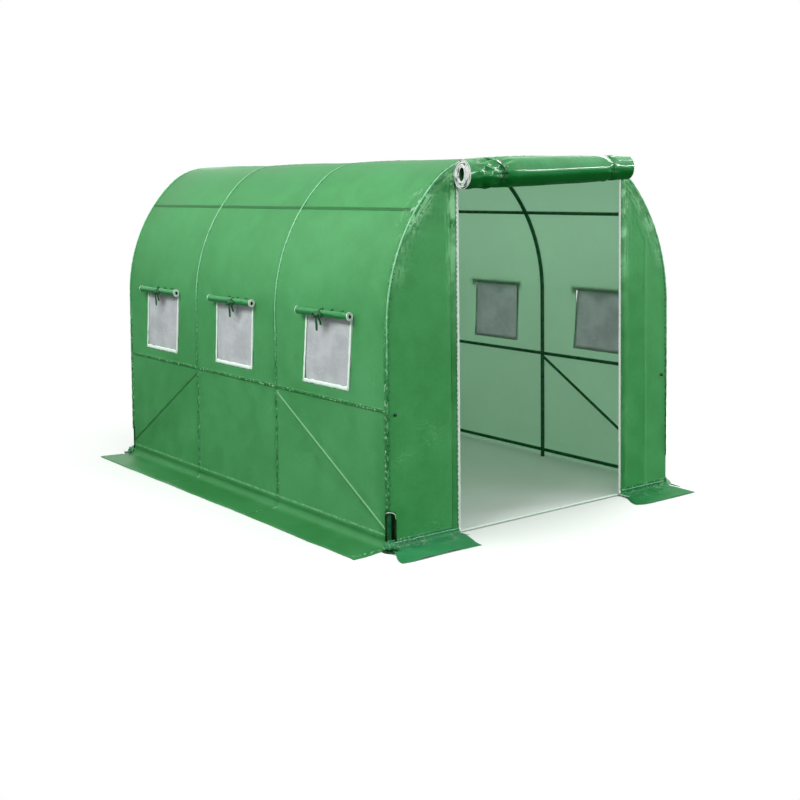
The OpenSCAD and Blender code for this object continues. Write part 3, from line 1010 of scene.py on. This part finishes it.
def make_window(side_name, bay):
    """A window's net, which sags a little in its opening, and the tapes round it."""
    side, (low, high) = SIDES[side_name], window_box[bay]
    name, seed = f"{side_name}_{bay}", side * 3 + BAYS.index(bay) * 7.0
    inside = (0, (low[1] + high[1]) / 2, 0.9)
    ys, zs = (stations([low[k] - 0.012, high[k] + more], 0.016) for k, more in ((1, 0.012), (2, 0.010)))

    def leaning(y, z, off):
        return wall_point(side, y + LEAN[bay] * (z - (low[2] + high[2]) / 2), z, off)

    def net_point(y, z):
        loose = smooth(min(y - ys[0], ys[-1] - y, z - zs[0], zs[-1] - z) / 0.06)
        dent = rough(y * 6.0, z * 7.0, seed) * 0.006 * loose
        return leaning(y, z, -0.0028 + dent - 0.003 * loose)

    bm = loft([[net_point(y, z) for z in zs] for y in ys])
    weave_by(bm, lambda v: (v.co.y, v.co.z, 0.0))
    net = piece(f"net_{name}", bm, insect_mesh, slot="insect_mesh", nodes=[f"window_mesh_{name}"],
                thick=0.0007, away=inside)
    ys[-1] - ys[0]
    zs[-1] - zs[0]

    def hem(part, y0, z0, y1, z1, width, phase):
        """A pale tape round the opening, with a slightly wavering edge."""
        count = max(2, round(max(abs(y1 - y0), abs(z1 - z0)) / 0.012))

        def point(i, j):
            waver = 0.0060 * rough(i * 0.33, phase + j * 0.3, seed) if j in (0, 3) else 0.0
            across = width * (j / 3 - 0.5) + waver
            y, z = lerp(y0, y1, i / count), lerp(z0, z1, i / count)
            y, z = (y, z + across) if y0 != y1 else (y + across, z)
            return leaning(y, z, 0.0009 + 0.0016 * sin(pi * j / 3))

        rows = [[point(i, j) for i in range(count + 1)] for j in range(4)]
        piece(f"hem_{part}_{name}", loft(rows), hem_tape, slot="zip_band", thick=0.0012, away=inside)

    w = 0.017
    hem("bottom", low[1] - w / 2, low[2], high[1] + w / 2, low[2], w * 1.4, 1.0)
    hem("front", low[1], low[2], low[1], high[2] + 0.02, w, 4.0)
    hem("back", high[1], low[2], high[1], high[2] + 0.02, w, 8.0)


# ---- Rolls and ties ----
def make_roll(name, start, end, radii, node, seed, pinch, hollow, turns=4, count=72, step=0.011, lip=0.0025,
              swell=0.0, skin=roll_film):
    """Film rolled up on itself: a skin with folds and pinches, and a coiled face round a hollow at each end."""
    axis, length = (end - start).normalized(), (end - start).length
    across = axis.cross(UP).normalized()
    up = across.cross(axis)

    def skin_point(d, a):
        narrow = sum(depth * exp(-(((d - at) / width) ** 2)) for at, width, depth in pinch)
        near = sum(exp(-(((d - at) / (width * 2.0)) ** 2)) for at, width, depth in pinch if depth > 0)
        soft = rough(cos(a) * 1.2 + seed, sin(a) * 1.2, d * 4.0) * 0.035
        tight = rough(cos(a) * 3.0, sin(a) * 3.0 + seed, d * 16.0) * 0.20 * near
        wide = swell * sin(pi * min(1.0, d / length))
        r = lerp(*radii, d / length) * (1 - narrow + soft + tight + wide)
        r += lip * ((a - 3.3) / (2 * pi) % 1.0)
        return start + axis * d + across * r * 0.87 * cos(a) + up * r * sin(a)

    def hollow_share(which, t, a):
        """How hollow the coil is between two of its layers, from 0 to 1."""
        loose = rough(cos(a) * 1.3, sin(a) * 1.3, seed * 3 + which + t * 2.5)
        gap = (0.24 + 0.74 * smooth(loose * 2.9 + 0.40)) * (turns > 2)
        phase = (t * turns - a / (2 * pi)) % 1.0
        return smooth((gap - abs(phase - 0.5) * 2) / 0.14) * smooth(min(t - 0.06, 1 - t) / 0.12)

    def face_point(which, t, depth, a):
        """On an end face: t runs from the hollow, 0, to the skin, 1."""
        centre, way = (end, -axis) if which else (start, axis)
        rim = skin_point(length * which, a) - centre
        inner = (across * hollow[0] * cos(a) + up * hollow[1] * sin(a)) * radii[which]
        sunk = radii[which] * (hollow_share(which, t, a) * 0.14 + 0.05 * (1 - t) * cos(a + seed))
        return centre + inner.lerp(rim, t) + way * (sunk + depth + 0.004 * (t > 0.999))

    angles, layers = circle(count), turns * 8
    face = [(0.0, radii[0] * 1.1), (0.0, radii[0] * 0.44)] + [(i / layers, 0.0) for i in range(layers + 1)]
    body = stations([0.004, 0.0065, length - 0.0065, length - 0.004], step)
    rows = [[face_point(0, *place, a) for a in angles] for place in face]
    rows += [[skin_point(d, a) for a in angles] for d in body]
    rows += [[face_point(1, *place, a) for a in angles] for place in reversed(face)]
    bm = tube(rows)
    order, level = bm.verts.layers.int["order"], bm.verts.layers.int["level"]

    def steps_in(v):
        return min(v[level], len(rows) - 1 - v[level])

    # the hollow's inside gets the near-black material as painted shade
    for f in bm.faces:  # 2 is the hollow's inside and 1 the coiled face
        deep = [steps_in(v) for v in f.verts]
        f.material_index = 2 if max(deep) <= 2 else int(min(deep) >= 2 and max(deep) <= len(face) + 1)

    # the third value is painted shade in the coil's hollows, read by roll_edge
    def on_film(v):
        k, a = steps_in(v), angles[v[order]]
        dark = hollow_share(int(v[level] > k), face[k][0], a) if 2 <= k < len(face) else 0.0
        return ((v.co - start).dot(axis), a * radii[0], dark)

    weave_by(bm, on_film)
    return piece(name, bm, skin, roll_edge, slot_binding_and_shade, nodes=[node])


def make_tape(name, points, facing, width, taper=1.0, material=tie_tape, slot="cover_film"):
    """A flat tape through points, lying with its face along facing at each point."""
    rows = [[], [], []]
    for i, (p, out) in enumerate(zip(points, facing)):
        half = width / 2 * lerp(1.0, taper, i / (len(points) - 1))
        side = way_at(points, i).cross(out).normalized() * half
        for row, q in zip(rows, (p - side, p + out * 0.0006, p + side)):
            row.append(q)
    return piece(name, loft(rows), material, slot=slot, thick=0.0014, offset=1.0, away=points[0] - facing[0])


def tie_round(name, centre, axis, radius, squash, width):
    """A tape tied once round a roll."""
    across = axis.cross(UP).normalized() * squash
    ring = [centre + (across * cos(a) + UP * sin(a)) * (radius + 0.0012) for a in circle(32)]
    bm = loft([[p + axis * width * side for p in ring] for side in (-0.5, 0.5)], closed=True)
    return piece(name, bm, tie_tape, thick=0.0016, offset=0.0)


def make_knot(name, centre, size, seed):
    bm = bmesh.new()
    bmesh.ops.create_icosphere(bm, subdivisions=3, radius=size)
    for v in bm.verts:
        v.co *= 1 + 0.35 * noise.noise(v.co / size * 1.3 + vec(seed, 0, 0))
        v.co.z *= 0.75
    bmesh.ops.translate(bm, vec=centre, verts=bm.verts)
    return piece(name, bm, tie_tape)


def make_window_roll(side_name, bay):
    """A window's rolled-up flap, tied with a bow, with toggles along its top."""
    side, tag = SIDES[side_name], f"{side_name}_{bay}"
    node, seed = f"window_roll_{tag}", BAYS.index(bay) * 2.1 + side
    low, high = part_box(node)
    radius, length = (high[2] - low[2]) / 2 * 0.96, high[1] - low[1] - 0.008
    start = vec(mid(node, 0), low[1] + 0.004, mid(node, 2))
    tie_at = length * TIE_SHARE[bay]
    pinch = [(tie_at, 0.020, 0.14), (length * 0.16, 0.02, 0.06), (0.0, 0.010, -0.16), (length, 0.010, -0.10)]
    make_roll(f"flap_roll_{tag}", start, start + vec(0, length, 0), (radius * 0.97, radius * 0.93), node,
              seed, pinch, (0.42, 0.52), 2, 32, 0.014, 0.001)
    at, out = start + vec(0, tie_at, 0), vec(side, 0, 0)
    tie_round(f"tie_{tag}", at, vec(0, 1, 0), radius * 0.90, 1.0, 0.010)
    for k, (swing, drop) in enumerate(((-0.014, 0.060), (0.018, 0.095))):
        points, facing = [], []
        for t in [i / 8 for i in range(9)]:
            y = swing * t * (1.5 - t) * 2 + 0.004 * sin(t * 6 + k)
            hang = vec(0, y, 0.004 - radius * 0.3 - drop * t)
            points.append(at + out * (radius * 1.02 + 0.004 - 0.012 * t) + hang)
            facing.append((out + vec(0, 0.25 * sin(t * 5 + k), 0)).normalized())
        make_tape(f"tie_tail_{tag}_{k}", points, facing, 0.022, 0.7)
    for k, reach in enumerate((-0.018, 0.023)):
        bend = [(1 - cos(a), 0.012 * sin(a)) for a in circle(15)]
        base = at + vec(side * (radius + 0.006), 0, -radius * 0.2)
        ring = [base + vec(0, reach * c, z - 0.004 * c) for c, z in bend]
        make_cord(f"tie_loop_{tag}_{k}", ring, 0.0058, tie_tape)
    make_knot(f"knot_{tag}", at + out * radius - UP * radius * 0.2, 0.023, seed)
    for k, share in enumerate((0.52, 0.33, 0.14)):
        place = start + vec(-side * radius * 0.1, length * share, radius)
        make_knot(f"toggle_{tag}_{k}", place, 0.010, seed + k)


for side_name in SIDES:
    for bay in BAYS:
        make_window(side_name, bay)
        make_window_roll(side_name, bay)


# ---- Door: zips, roll and ties ----
def make_zip(side_name):
    """A zip's tape, teeth and cover, and the foot of the tape, which runs out along the flap."""
    side, edge, y = SIDES[side_name], abs(door_edge[side_name]), -wall_y
    inside = (side * edge, 0, 1)

    def tape_point(j, z):
        waver = rough(z * 6.0, side * 2.0, 0.0) * 0.0018 * (j == 3)
        x = side * (edge + 0.004 - (zip_w + 0.004) * j / 3) + waver
        return vec(x, y - 0.0016 - 0.0015 * sin(pi * j / 3), z)

    bm = loft([[tape_point(j, z) for z in stations([GROUND, door_top], 0.02)] for j in range(4)])
    piece(f"zip_tape_{side_name}", bm, zip_tape, slot="zip_band", nodes=[f"door_zip_{side_name}"],
          thick=0.0016, away=inside)
    bm, z = bmesh.new(), 0.02
    while z < door_top - 0.01:
        drift = rough(z * 40.0, side * 2.0, 7.0)
        place = Matrix.Translation((side * (edge + 0.0045 + 0.002 * drift), y - 0.0042, z))
        add_box(bm, place, (0.0030, 0.003, 0.010 + 0.012 * abs(drift)))
        z += 0.026 + 0.020 * drift
    piece(f"zip_teeth_{side_name}", bm, zip_tooth, slot="zip_band", smooth_faces=False)

    def cover_strip(t, z):
        ridge = 0.0045 * sin(pi * t) + 0.003 * rough(t * 4.0, z * 2.5, side * 5.0)
        lift = 0.0012 + max(0.0, ridge) * smooth(min(t, 1 - t) * 6)
        return vec(side * lerp(edge + 0.006, edge + 0.044, t), y - lift, z)

    bm = loft([[cover_strip(j / 4, z) for z in stations([GROUND, door_top + 0.03], 0.02)] for j in range(5)])
    flat_weave(bm)
    piece(f"zip_cover_{side_name}", bm, wall_film, thick=0.0012, away=inside)
    x = side * (edge - zip_w / 2)
    foot = ((0, -0.004, 0.030), (0, -0.006, 0.012), (0.002, -0.018, 0.006), (0.008, -0.040, 0.005),
            (0.016, -0.066, 0.005))
    facing = [vec(0, *f) for f in ((-1, 0), (-0.8, 0.6), (-0.2, 1), (0, 1), (0, 1))]
    points = [vec(x, y, 0) + Vector(place) for place in foot]
    make_tape(f"zip_end_{side_name}", points, facing, 0.011, 0.6, zip_tape, "zip_band")


for side_name in SIDES:
    make_zip(side_name)


def make_door_roll():
    """The rolled-up door over the doorway, with a tie round each end and one that crosses over it."""
    low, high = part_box("door_roll")
    start = vec(low[0] + 0.004, high[1] - ROLL_R, low[2] + ROLL_R)
    end = vec(high[0] - 0.004, high[1] - ROLL_THIN_R, start.z + ROLL_RISE)
    length, axis = (end - start).length, (end - start).normalized()
    ties = (0.19 * length, 0.86 * length)
    pinches = [(ties[0], 0.045, 0.17), (ties[0] - 0.11, 0.04, 0.06), (ties[1], 0.025, 0.07)]
    make_roll("door_curtain", start, end, (ROLL_R * 0.97, ROLL_THIN_R * 0.95), "door_roll", 4.0, pinches,
              (0.30, 0.46), swell=0.07, skin=door_film)
    for name, at, slim, width in (("left", ties[0], 0.925, 0.008), ("right", ties[1], 0.985, 0.005)):
        radius = lerp(ROLL_R, ROLL_THIN_R, at / length) * slim
        tie_round(f"door_tie_{name}", start + axis * at, axis, radius, 0.93, width)
    radius = lerp(ROLL_R, ROLL_THIN_R, 0.19)
    knot = start + axis * (ties[0] + 0.010) + vec(0, -radius * 0.86, radius * 0.05)
    make_knot("door_knot_left", knot, 0.014, 2.0)
    points, facing = [], []
    for t in [i / 17 for i in range(18)]:
        a = lerp(radians(95), radians(4), t)
        out = vec(0, -cos(a) * 0.94, sin(a))
        d = ties[0] + lerp(-0.085, 0.010, smooth(t))
        points.append(start + axis * d + out * (radius * lerp(1.05, 0.93, t)))
        facing.append(out)
    make_tape("door_tie_cross", points, facing, 0.010)


make_door_roll()

# ---- Bolts through the end walls ----
for end, sign in ENDS.items():
    for side_name, side in SIDES.items():
        bm = bmesh.new()
        turn = Matrix.Rotation(radians(90 * sign), 4, "X")
        place = Matrix.Translation((side * (half_w - 0.045), sign * (end_y + 0.006), waist_z - 0.02)) @ turn
        bmesh.ops.create_cone(bm, cap_ends=True, segments=20, radius1=0.010, radius2=0.0075, depth=0.006,
                              matrix=place)
        piece(f"bolt_{end}_{side_name}", bm, bolt_black, slot="frame_tube")


# ---- Stage ----
def rays(n):
    """1 for the eye's own rays, and 1 for those that show a reflection."""
    return [n.use("ShaderNodeLightPath", (), f"Is {kind} Ray") for kind in ("Camera", "Glossy")]


def make_floor():
    """A pale floor that turns plain white away from the part, and lights it less than it shows."""
    bm = bmesh.new()
    bmesh.ops.create_grid(bm, x_segments=2, y_segments=2, size=60)
    bmesh.ops.translate(bm, vec=(0, 0, -0.0005), verts=bm.verts)
    m, n = start_material("floor")
    seen, mirrored = rays(n)
    far = n.use("ShaderNodeVectorMath", (n.object_place(),), "Value", operation="LENGTH")
    unseen = n.mix(mirrored, (0.22, 0.23, 0.22, 1), (0.05, 0.07, 0.05, 1))
    near_by = n.use("ShaderNodeBsdfDiffuse", {"Color": n.mix(seen, unseen, (0.90, 0.91, 0.90, 1))})
    white = n.use("ShaderNodeEmission", {"Strength": 1.0})
    both = n.use("ShaderNodeMixShader", (seen * n.span(far, 2.2, 4.2), near_by, white))
    n.add("ShaderNodeOutputMaterial", (both,))
    finish_mesh(bm, "floor", m, away=(0, 0, -5))


make_floor()

SKY = 0.42  # how bright the plain sky is to everything but the eye
GLOSS_SKY = 0.95  # and as a reflection
world = bpy.data.worlds.new("studio")
bpy.context.scene.world = world
world.use_nodes = True
w = Nodes(world.node_tree)
seen, mirrored = rays(w)
strength = mirrored * (GLOSS_SKY - SKY) + (seen * (1 - SKY) + SKY)
w.add("ShaderNodeOutputWorld", (w.use("ShaderNodeBackground", {"Color": (1, 1, 1, 1), "Strength": strength}),))


def softbox(name, place, aim, size, power):
    light = bpy.data.lights.new(name, "AREA")
    light.shape = "RECTANGLE"
    light.size, light.size_y = size
    light.energy = power
    turn = (Vector(aim) - Vector(place)).to_track_quat("-Z", "Y").to_matrix().to_4x4()
    link(name, light).matrix_world = Matrix.Translation(place) @ turn


softbox("left", (-4.4, -0.4, 4.6), (-0.9, -0.2, 1.3), (5.5, 1.6), 288)
softbox("top", (0.3, 0.3, 6.5), (0, 0, 1.0), (5.0, 5.0), 38)
softbox("front", (-3.2, -8.0, 3.0), (0, -1.2, 1.3), (5.0, 0.9), 96)
softbox("strip", (4.3, -6.6, 2.75), (0.1, -1.65, 1.95), (4.5, 0.30), 105)
softbox("back", (1.0, 7.5, 3.2), (0, 1.5, 1.2), (4.0, 2.0), 60)
softbox("right", (5.2, -0.6, 3.6), (0.9, 0, 1.2), (5.0, 3.0), 380)

# ---- Camera ----
CAM_PLACE = (-4.7894, -6.4634, 1.8656)
CAM_YAW, CAM_PITCH, CAM_ROLL = 0.6541, -0.0599, -0.0096
lens = bpy.data.cameras.new("camera")
lens.lens, lens.sensor_width, lens.shift_y, lens.clip_end = 55.08, 36.0, -0.175, 200
camera = link("camera", lens)
turns = ((-CAM_YAW, "Z"), (radians(90) + CAM_PITCH, "X"), (CAM_ROLL, "Z"))
camera.matrix_world = Matrix.Translation(CAM_PLACE)
for angle, axis in turns:
    camera.matrix_world = camera.matrix_world @ Matrix.Rotation(angle, 4, axis)
bpy.context.scene.camera = camera
bpy.context.scene.view_settings.view_transform = "Standard"
